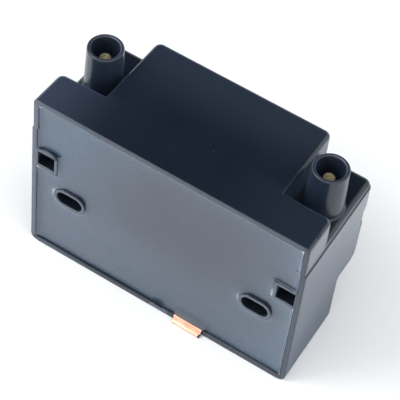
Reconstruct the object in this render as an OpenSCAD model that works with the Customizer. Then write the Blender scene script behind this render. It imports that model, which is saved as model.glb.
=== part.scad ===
// Potted ignition transformer: two black mouldings closed by a seam, filled with resin from the open back.
// X runs along the long side, Y from the open back to the front, Z up to the two high voltage towers.
// The origin is the centre of the bottom face. Depths are measured from the plane of the back rim.

/* [Housing] */
// Width of the housing at the back rim
body_w = 96; // [94:0.5:110]
// Depth of the housing above the ledge
body_d = 42.3; // [41.4:0.1:50]
// Depth of the lower part, below the ledge
base_d = 31.2; // [30.4:0.1:34]
// Height of the ledge under the deep upper part
ledge_z = 22; // [20:0.1:23]
// Height of the seam between tub and cover
seam_z = 55.6; // [55:0.1:62]
// Thickness of the moulded walls
wall = 1.9; // [1.5:0.1:2.2]
// Draft of the end walls, in degrees
draft = 1.5; // [0.5:0.1:2]
// Radius of the upright front corners
corner_r = 2.3; // [2:0.1:4]
// Radius of the two bottom corners, seen from the back
bottom_r = 2.5; // [1.5:0.1:3.5]
// Radius of the outer lip of the ledge
lip_r = 2.5; // [1.5:0.1:3.5]
// Radius of the hollow under the ledge
ledge_fillet_r = 1.6; // [0.8:0.1:2]
// How far the tub's end walls stand out past the cover at the seam
seam_step = 0.4; // [0.1:0.1:0.8]

/* [Cover] */
// Height of the raised block above the seam
block_h = 12.9; // [11:0.1:18]
// Distance of the raised block from each end of the back rim
block_edge = 16.5; // [15.9:0.05:18.2]
// Draft of the raised block's ends, in degrees
block_draft = 0.5; // [0.3:0.1:1.5]
// Depth of the raised strip along the back
strip_d = 13.85; // [10:0.05:16]
// Thickness of the plate that carries the towers
plate_t = 2.1; // [1.6:0.1:3]
// Radius of the raised top edges
edge_r = 0.9; // [0.5:0.1:1.4]
// Radius of the corner where strip and block meet
notch_r = 1.2; // [0.6:0.1:2]

/* [Towers] */
// Distance of a tower's axis from its end of the back rim
tower_edge = 8.65; // [8:0.05:9.5]
// Depth of the tower axes from the back rim
tower_y = 25; // [23.5:0.1:29]
// Height of a tower above the plate
tower_h = 17.2; // [14:0.1:26]
// Outer diameter of a tower at its mouth
tower_od = 11.5; // [10.8:0.1:12.4]
// Outer diameter of a tower at its foot
tower_foot_od = 12.5; // [12:0.1:13.4]
// Bore of a tower
socket_d = 9.06; // [7.8:0.02:9.6]
// Thickness of the floor of a tower above the plate
socket_floor_t = 1.5; // [1:0.1:3]
// Diameter of the brass terminal's pin
terminal_d = 4; // [3.8:0.1:5]
// Diameter of the terminal's shank, where it passes through the plate
shank_d = 3.4; // [3:0.1:3.6]
// Distance from the tower mouth down to the terminal's tip
terminal_drop = 4.3; // [2:0.1:7]
// Diameter of the collar under the plate
collar_d = 7; // [6:0.1:8]
// Diameter of the solder tail
tail_d = 2; // [1.6:0.1:2.6]
// Length of the solder tail below the collar
tail_l = 5; // [4:0.1:6]

/* [Fixing slots] */
// Distance of a slot's centre from its end of the back rim
slot_edge = 14; // [13.5:0.1:14.5]
// Length of a slot
slot_l = 9.3; // [8:0.1:10]
// Width of a slot
slot_w = 5.2; // [4.2:0.1:5.6]
// Height of the slots above the bottom
slot_z = 29; // [28:0.1:30.5]
// Wall of the sleeve round a slot
sleeve_t = 1.2; // [0.8:0.1:1.4]

/* [Side passages] */
// Width of a passage, measured from the end wall
passage_w = 6; // [5:0.1:6.4]
// Height of a passage
passage_h = 5.8; // [5:0.1:6.6]
// Height of a passage's floor above the bottom
passage_z = 39.4; // [38.8:0.1:41]
// Wall round a passage
passage_t = 1.2; // [0.8:0.1:1.4]
// Depth of the front recess round a passage
recess_d = 2.7; // [1:0.1:3]
// Height that the recess adds below the passage
recess_low = 1.2; // [0.8:0.1:1.5]
// Height that the recess adds above the passage
recess_high = 2.4; // [1.2:0.1:3]

/* [Resin] */
// Depth of the resin's surface below the back rim
resin_drop = 1.2; // [0.6:0.1:2]

/* [Earth strip] */
// Width of the copper strip
strap_w = 10.4; // [8:0.1:12]
// Thickness of the copper strip
strap_t = 0.3; // [0.2:0.05:0.5]
// Distance of the strip from the middle of the housing
strap_x = 12.7; // [10:0.1:16]
// How far the folded strip stands out from the back rim
strap_bulge = 1.4; // [1.2:0.1:2]
// Length of the strip's outer leg under the bottom
strap_leg = 5; // [3:0.1:8]
// Depth at which the inner leg turns up to the board
strap_in = 8; // [6:0.1:10]

/* [Mains inlet] */
// Width of the inlet
inlet_w = 23; // [21:0.1:25]
// Height of the inlet
inlet_h = 11; // [10:0.1:11.4]
// How far the inlet stands out of the lower front wall
inlet_out = 9; // [6:0.1:9.4]
// Wall of the inlet's shroud
inlet_t = 1.3; // [1:0.1:1.6]
// Depth of the inlet's socket
inlet_depth = 15; // [12:0.1:16]
// Chamfer of the inlet's two upper corners
inlet_key = 2; // [1:0.1:2.6]
// Distance between the contact blades
blade_pitch = 6.5; // [5.5:0.1:7]
// Height of a contact blade
blade_h = 6.3; // [4.8:0.1:6.6]
// Thickness of a contact blade
blade_t = 0.8; // [0.5:0.1:1]

/* [Board] */
// Width of the circuit board
board_w = 58; // [56:0.5:66]
// Thickness of the circuit board
board_t = 1.6; // [1:0.1:1.8]
// Height of the board's underside above the bottom
board_z = 5; // [4.4:0.1:5.2]
// Distance of the board from the back rim
board_y = 3; // [2.2:0.1:3.4]
// Gap between the board's front edge and the tub
board_gap = 0.9; // [0.5:0.1:1.5]

/* [Transformer] */
// Side of the square core's legs
core_leg = 8; // [6.5:0.1:8.2]
// Distance of the closed core from each end of the back rim
core_edge = 22; // [21.5:0.1:23]
// Distance of the core's middle from the upper front wall
core_front = 15.5; // [15:0.1:16.5]
// Gap between the secondary former and the roof of the cover
roof_gap = 4; // [3.4:0.1:4.4]
// Gap between the primary former and the floor over the ledge
ledge_gap = 0.1; // [0.1:0.1:0.6]
// Air gap between the core halves
core_gap = 0.3; // [0.1:0.05:0.6]
// Diameter of the secondary former's flanges
secondary_d = 21; // [18:0.1:21.6]
// Diameter of the primary former's flanges
primary_d = 15.6; // [15.5:0.1:17]
// Space between each end of the primary former and the core's leg
primary_space = 4; // [3:0.5:6]
// Wall of the formers
former_t = 0.9; // [0.6:0.1:1]
// Winding sections on each half of the secondary
sections = 3; // [2:1:4]
// Diameter of the insulated high voltage leads
lead_d = 1.6; // [1.2:0.1:2]

/* [Hidden] */
$fn = 64;

moulded_black = [0.11, 0.13, 0.17];
resin_grey = [0.3, 0.34, 0.38];
brass = [0.72, 0.6, 0.35];
copper = [0.85, 0.5, 0.33];
ferrite_grey = [0.22, 0.22, 0.24];
former_green = [0.25, 0.4, 0.33];

// Overlap that carries a cut past the face it opens
past = 1;
// Steps in a rounded corner, and in a rounded edge
arc_n = 6;
edge_n = 4;
// Clearance round a part that is set into the tub's wall
fit_gap = 0.1;

// Parts on the board, in two rows: the first along the back edge, the second in front of it
row_edge = 1;
suppression_size = [18, 8, 14];
drive_size = [16, 7, 12];
part_space = 1.5;
foot_w = 1.5;
foot_h = 0.5;
choke_d = 11;
choke_post_d = 5;
choke_h = 13;
choke_flange = 1.2;
sink_w = 14;
sink_t = 1.5;
sink_h = 11;
screw_d = 3;
screw_head_h = 1.9;
transistor_w = 10;
tab_l = 10.5;
tab_t = 1.3;
tab_hole_y = 2.8;
transistor_body_l = 5.4;
transistor_body_h = 4.4;
leg_pitch = 2.54;
leg_w = 0.8;
leg_l = 1.8;
wire_d = 0.7;
axial_height = 2.4;
axial_space = 1;
diode_d = 2.7;
diode_l = 5.2;
diode_space = 0.8;
resistor_d = 2.4;
resistor_l = 6.5;
diac_d = 2;
diac_l = 3.8;
diac_span = 7;
primary_lead_d = 1;
primary_lead_gap = 1.8;
board_d = base_d - wall - board_gap - board_y;
drive_x = row_edge + suppression_size[0] + part_space;
choke_x = drive_x + drive_size[0] + part_space + choke_d / 2;
second_row = row_edge + suppression_size[1] + part_space;
sink_d = board_d - second_row;
axial_span = board_d - choke_d - 2 * row_edge - 2 * wire_d - axial_space;
diode_y = row_edge + choke_d + wire_d + axial_span / 2;
fin_space = 0.8;
hole_edge = 3.2;
transistor_x = sink_t + fin_space + transistor_w / 2;
transistor_hole_y = sink_d - hole_edge;
diode_x = board_w - row_edge - diode_d / 2;

// Cover and towers
half_w = body_w / 2;
tub_half_w = half_w + seam_step;
block_w = 2 * (half_w - block_edge);
plate_z = seam_z + plate_t;
block_z = seam_z + block_h;
tower_x = half_w - tower_edge;
mouth_z = plate_z + tower_h;
socket_floor_z = plate_z + socket_floor_t;
pin_gap = 0.3;
pin_z = socket_floor_z + pin_gap;
tip_z = mouth_z - terminal_drop;
strip_r = 2.4;
plate_edge_r = min(plate_t, corner_r) - 0.1;
lip_round = 0.6;
tower_lead_in = 0.35;
collar_t = 1.4;
dimple_r = 0.9;
dimple_depth = 0.7;

// Slots, passages and their recesses
slot_x = half_w - slot_edge;
passage_top_z = passage_z + passage_h;
recess_z = passage_z - recess_low;
recess_top_z = passage_top_z + recess_high;

// Earth strip, and the inlet that stands on the board
strap_relief = strap_t + fit_gap / 2;
board_top_z = board_z + board_t;
inlet_row = 16;
inlet_back_y = board_y + inlet_row;
inlet_front_y = base_d + inlet_out;
inlet_mid_z = board_top_z + inlet_h / 2;
blade_tail_w = 1.4;
blade_drop = 2.5;
blade_back_y = inlet_back_y - blade_tail_w;
blade_tip_y = inlet_front_y - blade_drop;
blade_chamfer = 0.9;

// Core, formers and high voltage leads
core_half = half_w - core_edge;
core_w = 2 * core_half;
core_y = body_d - wall - core_front;
core_mid_z = block_z - wall - roof_gap - secondary_d / 2;
core_low_mid_z = ledge_z + wall + ledge_gap + primary_d / 2;
core_z = core_low_mid_z - core_leg / 2;
core_h = core_mid_z + core_leg / 2 - core_z;
primary_w = core_w - 2 * core_leg - 2 * primary_space;
primary_lead_x = blade_pitch / 2;
primary_lead_y = inlet_back_y - primary_lead_d / 2 - primary_lead_gap;
former_end_gap = 0.4;
former_gap = 0.15;
winding_half = core_half - core_leg - former_end_gap;
former_bore = core_leg + 2 * former_gap;
former_tube = former_bore + 2 * former_t;
section_w = (2 * winding_half - (2 * sections + 1) * former_t) / (2 * sections);
winding_inset = 0.5;
lead_gap = 0.3;
lead_y = core_y + secondary_d / 2 + lead_d / 2 + lead_gap;
tail_z = seam_z - collar_t - tail_l;
lead_z = tail_z + lead_d / 2 + lead_gap;

// Depths count from the back rim: this puts the origin at the centre of the bottom face
module from_rim() {
    translate([0, -base_d / 2, 0]) children();
}

// Half width at a depth, for walls that are hw from the middle at the back rim
function half_at(hw, y, slope = draft) = hw - y * tan(slope);

function arc_points(cx, cy, r, from, to) =
    [for (i = [0:arc_n]) let (a = from + (to - from) * i / arc_n) [cx + r * cos(a), cy + r * sin(a)]];

// Outline seen from above: straight back edge, drafted ends and rounded front corners
function plan(hw, y0, y1, r, slope = draft) =
    let (cx = half_at(hw, y1 - r, slope) - r / cos(slope))
    concat(
        [[-half_at(hw, y0, slope), y0], [half_at(hw, y0, slope), y0]],
        arc_points(cx, y1 - r, r, slope, 90),
        arc_points(-cx, y1 - r, r, 90, 180 - slope));

// The same outline as one ring of a loft
function ring(z, hw, y1, r, slope = draft) = [for (p = plan(hw, 0, y1, r, slope)) [p[0], p[1], z]];

// Solid through a stack of rings, given from the lowest to the highest
module loft(rings) {
    n = len(rings[0]);
    top = (len(rings) - 1) * n;
    low_faces = [for (k = [0:len(rings) - 2], i = [0:n - 1])
        [k * n + i, (k + 1) * n + i, (k + 1) * n + (i + 1) % n]];
    high_faces = [for (k = [0:len(rings) - 2], i = [0:n - 1])
        [k * n + i, (k + 1) * n + (i + 1) % n, k * n + (i + 1) % n]];
    polyhedron(
        points = [for (r = rings) each r],
        faces = concat([[for (i = [0:n - 1]) i]], low_faces, high_faces, [[for (i = [n - 1:-1:0]) top + i]]));
}

// Drafted block with rounded top edges at its ends and front
module topped_block(hw, d, z0, z1, r, er, slope = draft) {
    loft(concat(
        [ring(z0, hw, d, r, slope)],
        [for (i = [0:edge_n]) let (a = 90 * i / edge_n, inset = er * (1 - cos(a)))
            ring(z1 - er * (1 - sin(a)), hw - inset, d - inset, r - inset, slope)]));
}

// Outside of the tub: rounded bottom corners, lower wall, hollow under the ledge, rounded lip and upper wall
module tub_form() {
    loft(concat(
        [for (i = [edge_n:-1:0]) let (a = 90 * i / edge_n, inset = bottom_r * (1 - cos(a)))
            ring(bottom_r * (1 - sin(a)), tub_half_w - inset, base_d - inset / 2, corner_r)],
        [for (i = [0:edge_n]) let (a = 90 * i / edge_n)
            ring(ledge_z - ledge_fillet_r * (1 - sin(a)), tub_half_w,
                base_d + ledge_fillet_r * (1 - cos(a)), corner_r)],
        [for (i = [0:edge_n]) let (a = 90 * i / edge_n)
            ring(ledge_z + lip_r * (1 - cos(a)), tub_half_w, body_d - lip_r * (1 - sin(a)), corner_r)],
        [ring(seam_z, tub_half_w, body_d, corner_r)]));
}

// Slot or bar with round ends, along the depth
module round_ended_bar(l, w, y0, y1) {
    straight = (l - w) / 2;
    for (side = [-1, 1]) {
        translate([side * straight, y1, 0]) rotate([90, 0, 0]) cylinder(h = y1 - y0, d = w);
    }
    translate([-straight, y0, -w / 2]) cube([2 * straight, y1 - y0, w]);
}

module at_slots() {
    for (side = [-1, 1]) {
        translate([side * slot_x, 0, slot_z]) children();
    }
}

// Block against each end wall: reach is its width inwards, outside how far it goes into the drafted wall
module end_blocks(reach, outside, y0, y1, z0, z1) {
    inner_x = half_w - wall;
    for (side = [0, 1]) {
        mirror([side, 0, 0]) translate([0, 0, z0]) linear_extrude(z1 - z0)
            polygon([[inner_x - reach, y0], [half_at(inner_x, y0) + outside, y0],
                [half_at(inner_x, y1) + outside, y1], [inner_x - reach, y1]]);
    }
}

// Everything that the moulded tub adds inside its hollow
module tub_inner_walls() {
    back_y = body_d - recess_d - wall;
    front_y = body_d - wall / 2;
    at_slots() round_ended_bar(slot_l + 2 * sleeve_t, slot_w + 2 * sleeve_t, 0, front_y);
    end_blocks(passage_w + passage_t, wall / 2, 0, front_y, passage_z - passage_t, passage_top_z + passage_t);
    end_blocks(passage_w + passage_t + wall, wall / 2, back_y, front_y, recess_z - wall, recess_top_z + wall);
}

// Recess in the front round each passage, open at the end and bevelled above
module front_recesses() {
    bottom_y = body_d - recess_d;
    len = wall + passage_w + passage_t + past;
    for (side = [0, 1]) {
        mirror([side, 0, 0]) translate([half_w + past - len, 0, 0]) rotate([90, 0, 90]) linear_extrude(len)
            polygon([[bottom_y, recess_z], [body_d + past, recess_z], [body_d + past, recess_top_z + past],
                [body_d, recess_top_z], [bottom_y, recess_top_z - recess_d]]);
    }
}

// Hollow of the tub, open at the back and at the seam
module tub_hollow() {
    translate([0, 0, wall]) linear_extrude(seam_z + past - wall)
        polygon(plan(tub_half_w - wall, -past, base_d - wall, corner_r - wall / 2));
    translate([0, 0, ledge_z + wall]) linear_extrude(seam_z + past - ledge_z - wall)
        polygon(plan(tub_half_w - wall, -past, body_d - wall, corner_r - wall / 2));
}

// Hollow of the cover under the strip and the raised block, open at the back and at the seam
module cover_hollow() {
    translate([0, 0, seam_z - past]) linear_extrude(block_h - wall + past) {
        polygon(plan(half_w - wall, -past, strip_d - wall, notch_r));
        polygon(plan(block_w / 2 - wall, -past, body_d - wall, corner_r - wall / 2, block_draft));
    }
}

module inlet_outline(grow) {
    w = inlet_w / 2 + grow;
    polygon([[-w, -grow], [w, -grow], [w, inlet_h - inlet_key + grow], [w - inlet_key, inlet_h + grow],
        [inlet_key - w, inlet_h + grow], [-w, inlet_h - inlet_key + grow]]);
}

module inlet_bar(grow, y0, y1) {
    translate([0, y1, board_top_z]) rotate([90, 0, 0]) linear_extrude(y1 - y0) inlet_outline(grow);
}

module housing_tub() {
    color(moulded_black) from_rim() difference() {
        union() {
            difference() {
                tub_form();
                tub_hollow();
            }
            tub_inner_walls();
        }
        at_slots() round_ended_bar(slot_l, slot_w, -past, body_d + past);
        end_blocks(passage_w, 0, -past, body_d + past, passage_z, passage_top_z);
        front_recesses();
        inlet_bar(fit_gap, base_d - wall - past, base_d + past);
        translate([strap_x - strap_w / 2 - fit_gap, -past, -past])
            cube([strap_w + 2 * fit_gap, strap_leg + past + fit_gap, strap_relief + past]);
    }
}

// Section of one tower, from its axis and foot to its rounded lip, its bore and its floor
module tower_section() {
    mouth_r = tower_od / 2;
    bore_r = socket_d / 2;
    foot_r = tower_foot_od / 2;
    polygon(concat(
        [[0, seam_z], [foot_r, seam_z], [foot_r, plate_z]],
        arc_points(mouth_r - lip_round, mouth_z - lip_round, lip_round, 0, 90),
        [[bore_r + tower_lead_in, mouth_z], [bore_r, mouth_z - tower_lead_in],
            [bore_r, socket_floor_z], [0, socket_floor_z]]));
}

module at_towers() {
    for (side = [-1, 1]) {
        translate([side * tower_x, tower_y, 0]) children();
    }
}

module top_cover() {
    color(moulded_black) from_rim() difference() {
        union() {
            difference() {
                union() {
                    topped_block(half_w, body_d, seam_z, plate_z, corner_r, plate_edge_r);
                    topped_block(half_w, strip_d, seam_z, block_z, strip_r, edge_r);
                    topped_block(block_w / 2, body_d, seam_z, block_z, corner_r, edge_r, block_draft);
                    notch_fillets();
                }
                cover_hollow();
            }
            at_towers() rotate_extrude() tower_section();
        }
        at_towers() translate([0, 0, seam_z - past]) cylinder(h = tower_h, d = shank_d);
    }
}

// Hollows where the raised block meets the strip
module notch_fillets() {
    top = block_z - edge_r;
    for (side = [0, 1]) {
        mirror([side, 0, 0]) translate([half_at(block_w / 2, strip_d, block_draft) - past, strip_d - past, seam_z])
            difference() {
                cube([notch_r + past, notch_r + past, top - seam_z]);
                translate([notch_r + past, notch_r + past, -past])
                    cylinder(h = block_h + 2 * past, r = notch_r);
            }
    }
}

module terminal(side) {
    color(brass) from_rim() translate([side * tower_x, tower_y, 0]) difference() {
        union() {
            translate([0, 0, seam_z]) cylinder(h = pin_z - seam_z, d = shank_d);
            translate([0, 0, pin_z]) cylinder(h = tip_z - pin_z - lip_round, d = terminal_d);
            translate([0, 0, tip_z - lip_round])
                cylinder(h = lip_round, d1 = terminal_d, d2 = terminal_d - lip_round);
            translate([0, 0, seam_z - collar_t]) cylinder(h = collar_t, d = collar_d);
            translate([0, 0, tail_z]) cylinder(h = tail_l, d = tail_d);
        }
        translate([0, 0, tip_z - dimple_depth]) cylinder(h = dimple_depth + past, r = dimple_r);
    }
}

module hv_terminal_left() {
    terminal(-1);
}

module hv_terminal_right() {
    terminal(1);
}

// Copper strip folded round the bottom rim: leg under the bottom, round fold, inner leg and upturned end
module earth_strip() {
    outer_r = (wall + strap_t) / 2;
    fold_y = outer_r - strap_bulge;
    color(copper) from_rim() translate([strap_x - strap_w / 2, 0, 0]) {
        translate([0, fold_y, outer_r]) rotate([0, 90, 0]) difference() {
            cylinder(h = strap_w, r = outer_r);
            translate([0, 0, -past]) cylinder(h = strap_w + 2 * past, r = outer_r - strap_t);
            translate([-outer_r - past, 0, -past])
                cube([2 * (outer_r + past), outer_r + past, strap_w + 2 * past]);
        }
        translate([0, fold_y, 0]) cube([strap_w, strap_leg - fold_y, strap_t]);
        translate([0, fold_y, wall]) cube([strap_w, strap_in - fold_y, strap_t]);
        translate([0, strap_in - strap_t, wall]) cube([strap_w, strap_t, board_z - wall]);
    }
}

module mains_inlet() {
    color("dimgray") from_rim() difference() {
        inlet_bar(0, inlet_back_y, inlet_front_y);
        translate([0, inlet_front_y + past, board_top_z + inlet_t]) rotate([90, 0, 0])
            linear_extrude(inlet_depth + past) socket_outline();
        for (x = [-blade_pitch, 0, blade_pitch]) {
            blade_bar(x);
        }
    }
}

module socket_outline() {
    w = inlet_w / 2 - inlet_t;
    h = inlet_h - 2 * inlet_t;
    key = inlet_key - inlet_t / 2;
    polygon([[-w, 0], [w, 0], [w, h - key], [w - key, h], [key - w, h], [-w, h - key]]);
}

// Flat contact with a bevelled tip and a tail that turns down to the board
module blade_bar(x) {
    low = inlet_mid_z - blade_h / 2;
    high = inlet_mid_z + blade_h / 2;
    translate([x - blade_t / 2, 0, 0]) rotate([90, 0, 90]) linear_extrude(blade_t)
        polygon([[blade_back_y, board_top_z], [inlet_back_y, board_top_z], [inlet_back_y, low],
            [blade_tip_y - blade_chamfer, low], [blade_tip_y, low + blade_chamfer],
            [blade_tip_y, high - blade_chamfer], [blade_tip_y - blade_chamfer, high], [blade_back_y, high]]);
}

module live_blade() {
    color(brass) from_rim() blade_bar(-blade_pitch);
}

module earth_blade() {
    color(brass) from_rim() blade_bar(0);
}

module neutral_blade() {
    color(brass) from_rim() blade_bar(blade_pitch);
}

module circuit_board() {
    color("darkolivegreen") from_rim() translate([-board_w / 2, board_y, board_z])
        cube([board_w, board_d, board_t]);
}

// Place on top of the board, measured from its back left corner
module on_board(x, y) {
    translate([x - board_w / 2, board_y + y, board_top_z]) children();
}

module film_capacitor(size) {
    difference() {
        cube(size);
        translate([foot_w, -past, -past]) cube([size[0] - 2 * foot_w, size[1] + 2 * past, past + foot_h]);
    }
}

module suppression_capacitor() {
    color("goldenrod") from_rim() on_board(row_edge, row_edge) film_capacitor(suppression_size);
}

module drive_capacitor() {
    color("firebrick") from_rim() on_board(drive_x, row_edge) film_capacitor(drive_size);
}

module at_choke() {
    on_board(choke_x, row_edge + choke_d / 2) children();
}

module choke_core() {
    color(ferrite_grey) from_rim() at_choke() {
        cylinder(h = choke_flange, d = choke_d);
        cylinder(h = choke_h, d = choke_post_d);
        translate([0, 0, choke_h - choke_flange]) cylinder(h = choke_flange, d = choke_d);
    }
}

module choke_winding() {
    color(copper) from_rim() at_choke() translate([0, 0, choke_flange]) difference() {
        cylinder(h = choke_h - 2 * choke_flange, d = choke_d - 2 * winding_inset);
        translate([0, 0, -past]) cylinder(h = choke_h, d = choke_post_d);
    }
}

// The sink lies on the board, with a fin turned up along its outer edge
module heat_sink() {
    color("silver") from_rim() on_board(row_edge, second_row) difference() {
        union() {
            cube([sink_w, sink_d, sink_t]);
            cube([sink_t, sink_d, sink_h]);
        }
        translate([transistor_x, transistor_hole_y, -past]) cylinder(h = sink_t + 2 * past, d = screw_d);
    }
}

module on_sink() {
    on_board(row_edge, second_row) translate([transistor_x, 0, sink_t]) children();
}

module switching_transistor() {
    leg_y = transistor_hole_y + tab_hole_y - tab_l;
    color("dimgray") from_rim() on_sink() {
        difference() {
            translate([-transistor_w / 2, leg_y, 0]) cube([transistor_w, tab_l, tab_t]);
            translate([0, transistor_hole_y, -past]) cylinder(h = tab_t + 2 * past, d = screw_d);
        }
        translate([-transistor_w / 2, leg_y, 0]) cube([transistor_w, transistor_body_l, transistor_body_h]);
        for (i = [-1, 0, 1]) {
            translate([i * leg_pitch - leg_w / 2, leg_y - leg_l, tab_t]) cube([leg_w, leg_l, leg_w]);
        }
    }
}

module transistor_screw() {
    color("silver") from_rim() on_sink() translate([0, transistor_hole_y, 0]) {
        translate([0, 0, -sink_t]) cylinder(h = sink_t + tab_t, d = screw_d);
        translate([0, 0, tab_t]) cylinder(h = screw_head_h, d = 2 * screw_d);
    }
}

// Axial part along Y that stands on its two bent leads
module axial_part(part_d, part_l, span, height) {
    translate([0, 0, height]) rotate([-90, 0, 0]) {
        cylinder(h = part_l, d = part_d, center = true);
        cylinder(h = span, d = wire_d, center = true);
    }
    for (side = [-1, 1]) {
        translate([0, side * span / 2, height]) sphere(d = wire_d);
        translate([0, side * span / 2, 0]) cylinder(h = height, d = wire_d);
    }
}

module rectifier_diodes() {
    color("black") from_rim() for (i = [0:3]) {
        on_board(diode_x - i * (diode_d + diode_space), diode_y)
            axial_part(diode_d, diode_l, axial_span, axial_height);
    }
}

module resistors() {
    color("tan") from_rim() for (side = [-1, 1]) {
        on_board(board_w / 2 + side * (axial_span / 2 + wire_d), second_row + resistor_d / 2)
            rotate([0, 0, 90]) axial_part(resistor_d, resistor_l, axial_span, axial_height);
    }
}

module trigger_diac() {
    color("steelblue") from_rim() on_board(diode_x, row_edge + diac_span / 2 + wire_d)
        axial_part(diac_d, diac_l, diac_span, axial_height);
}

// Half of the closed core: a U with its legs towards the other half
module core_half_shape() {
    translate([core_gap / 2, core_y - core_leg / 2, core_z]) difference() {
        cube([core_half - core_gap / 2, core_leg, core_h]);
        translate([-past, -past, core_leg])
            cube([core_half - core_gap / 2 - core_leg + past, core_leg + 2 * past, core_h - 2 * core_leg]);
    }
}

module ferrite_core_left() {
    color(ferrite_grey) from_rim() mirror([1, 0, 0]) core_half_shape();
}

module ferrite_core_right() {
    color(ferrite_grey) from_rim() core_half_shape();
}

module core_gap_shims() {
    color("tan") from_rim() for (z = [core_z, core_z + core_h - core_leg]) {
        translate([-core_gap / 2, core_y - core_leg / 2, z]) cube([core_gap, core_leg, core_leg]);
    }
}

// Square bar along X, centred on a leg of the core
module leg_bar(side, len, z) {
    translate([-len / 2, core_y - side / 2, z - side / 2]) cube([len, side, side]);
}

// Round disc or winding on a leg of the core, from x0 to x1
module leg_disc(d, x0, x1, z) {
    translate([x0, core_y, z]) rotate([0, 90, 0]) cylinder(h = x1 - x0, d = d);
}

module secondary_former() {
    color(former_green) from_rim() difference() {
        union() {
            leg_bar(former_tube, 2 * winding_half, core_mid_z);
            for (i = [0:2 * sections]) {
                x = i * (section_w + former_t) - winding_half;
                leg_disc(secondary_d, x, x + former_t, core_mid_z);
            }
        }
        leg_bar(former_bore, core_w, core_mid_z);
    }
}

// The wound sections of one half, each between two flanges of the former
module secondary_winding(side) {
    color(copper) from_rim() mirror([side < 0 ? 1 : 0, 0, 0]) difference() {
        for (i = [0:sections - 1]) {
            x = former_t / 2 + i * (section_w + former_t);
            leg_disc(secondary_d - 2 * winding_inset, x, x + section_w, core_mid_z);
        }
        leg_bar(former_tube, core_w, core_mid_z);
    }
}

module secondary_winding_left() {
    secondary_winding(-1);
}

module secondary_winding_right() {
    secondary_winding(1);
}

module primary_former() {
    color(former_green) from_rim() difference() {
        union() {
            leg_bar(former_tube, primary_w, core_low_mid_z);
            for (side = [0, 1]) {
                mirror([side, 0, 0])
                    leg_disc(primary_d, primary_w / 2 - former_t, primary_w / 2, core_low_mid_z);
            }
        }
        leg_bar(former_bore, core_w, core_low_mid_z);
    }
}

module primary_winding() {
    edge = primary_w / 2 - former_t;
    color(copper) from_rim() difference() {
        leg_disc(primary_d - 2 * winding_inset, -edge, edge, core_low_mid_z);
        leg_bar(former_tube, core_w, core_low_mid_z);
    }
}

// Two wires from the primary winding down to the board, behind the inlet and between its contacts
module primary_leads() {
    color("firebrick") from_rim() difference() {
        for (side = [-1, 1]) {
            translate([side * primary_lead_x, primary_lead_y, 0]) {
                translate([0, 0, board_top_z])
                    cylinder(h = core_low_mid_z - board_top_z, d = primary_lead_d);
                translate([0, 0, core_low_mid_z]) rotate([-90, 0, 0])
                    cylinder(h = core_y - primary_lead_y, d = primary_lead_d);
                translate([0, 0, core_low_mid_z]) sphere(d = primary_lead_d);
            }
        }
        leg_disc(primary_d - 2 * winding_inset, -core_w / 2, core_w / 2, core_low_mid_z);
    }
}

// Insulated lead: out of the last wound section, along in front of the core, and back to the terminal's tail
module hv_lead(side) {
    start_x = winding_half - former_t - section_w / 2;
    color("firebrick") from_rim() mirror([side < 0 ? 1 : 0, 0, 0]) difference() {
        union() {
            translate([start_x, core_y, lead_z]) rotate([-90, 0, 0])
                cylinder(h = lead_y - core_y, d = lead_d);
            translate([start_x, lead_y, lead_z]) {
                sphere(d = lead_d);
                rotate([0, 90, 0]) cylinder(h = tower_x - start_x, d = lead_d);
            }
            translate([tower_x, lead_y, lead_z]) sphere(d = lead_d);
            translate([tower_x, tower_y, lead_z]) rotate([-90, 0, 0])
                cylinder(h = lead_y - tower_y, d = lead_d);
        }
        leg_disc(secondary_d - 2 * winding_inset, 0, core_w / 2, core_mid_z);
        translate([tower_x, tower_y, tail_z - past]) cylinder(h = tail_l, d = tail_d);
    }
}

module hv_lead_left() {
    hv_lead(-1);
}

module hv_lead_right() {
    hv_lead(1);
}

// Resin fills both hollows up to just below the rim, round everything inside them
module potting_compound() {
    color(resin_grey) difference() {
        from_rim() difference() {
            union() {
                intersection() {
                    tub_hollow();
                    translate([-body_w, resin_drop, 0]) cube([2 * body_w, body_d, seam_z]);
                }
                intersection() {
                    cover_hollow();
                    translate([-body_w, resin_drop, seam_z]) cube([2 * body_w, body_d, block_h]);
                }
            }
            tub_inner_walls();
            inlet_bar(0, inlet_back_y, base_d);
        }
        inner_parts();
    }
}

// Everything that the resin closely surrounds
module inner_parts() {
    terminal(-1);
    terminal(1);
    earth_strip();
    live_blade();
    neutral_blade();
    earth_blade();
    circuit_board();
    suppression_capacitor();
    drive_capacitor();
    choke_core();
    choke_winding();
    heat_sink();
    switching_transistor();
    transistor_screw();
    rectifier_diodes();
    resistors();
    trigger_diac();
    ferrite_core_left();
    ferrite_core_right();
    core_gap_shims();
    secondary_former();
    secondary_winding_left();
    secondary_winding_right();
    primary_former();
    primary_winding();
    primary_leads();
    hv_lead_left();
    hv_lead_right();
}

housing_tub();
top_cover();
potting_compound();
hv_terminal_left();
hv_terminal_right();
earth_strip();
mains_inlet();
live_blade();
neutral_blade();
earth_blade();
circuit_board();
suppression_capacitor();
drive_capacitor();
choke_core();
choke_winding();
heat_sink();
switching_transistor();
transistor_screw();
rectifier_diodes();
resistors();
trigger_diac();
ferrite_core_left();
ferrite_core_right();
core_gap_shims();
secondary_former();
secondary_winding_left();
secondary_winding_right();
primary_former();
primary_winding();
primary_leads();
hv_lead_left();
hv_lead_right();
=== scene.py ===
"""Potted ignition transformer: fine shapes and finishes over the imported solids.

Around it stand a pale floor, soft light and a camera at the photograph's angle.
"""

import math
from functools import reduce

import bmesh
import bpy
from mathutils import Euler, Matrix, Vector, noise
from mathutils.bvhtree import BVHTree
from mathutils.geometry import delaunay_2d_cdt, intersect_point_line
from mathutils.kdtree import KDTree


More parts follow.
